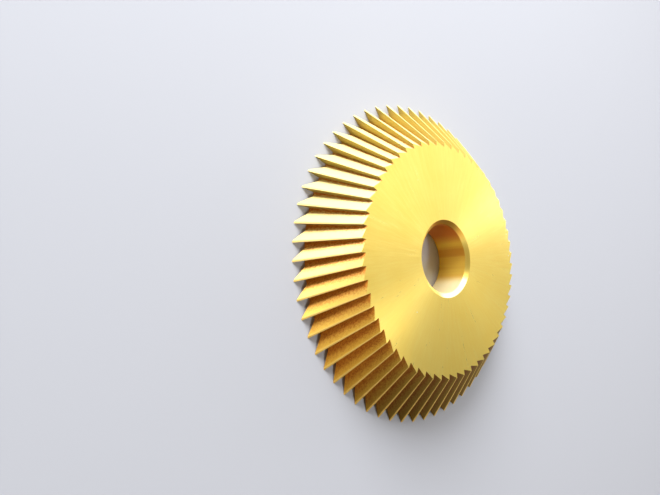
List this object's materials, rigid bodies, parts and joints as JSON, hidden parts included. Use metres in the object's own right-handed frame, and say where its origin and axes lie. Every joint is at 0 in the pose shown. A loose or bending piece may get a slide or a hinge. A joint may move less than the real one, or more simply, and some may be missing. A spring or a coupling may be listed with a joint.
{
  "type": "key cutting wheel",
  "caption": "Conical milling wheel for cutting key blanks: straight saw teeth on a steep cone, two flat clamping faces and a plain arbor bore, gold coated.",
  "frame": {"origin": "on the bore's axis, in the plane of the large end, which the wheel lies on", "axes": "+Z along the bore's axis, from the large end to the small face; +X through a tooth tip at the small face"},
  "size_m": [0.06, 0.06, 0.0073],
  "materials": {
    "coated_steel": "ground high-speed steel with a thin gold titanium nitride coating"
  },
  "bodies": {
    "root": {"cutting_wheel": "coated_steel"}
  },
  "joints": []
}
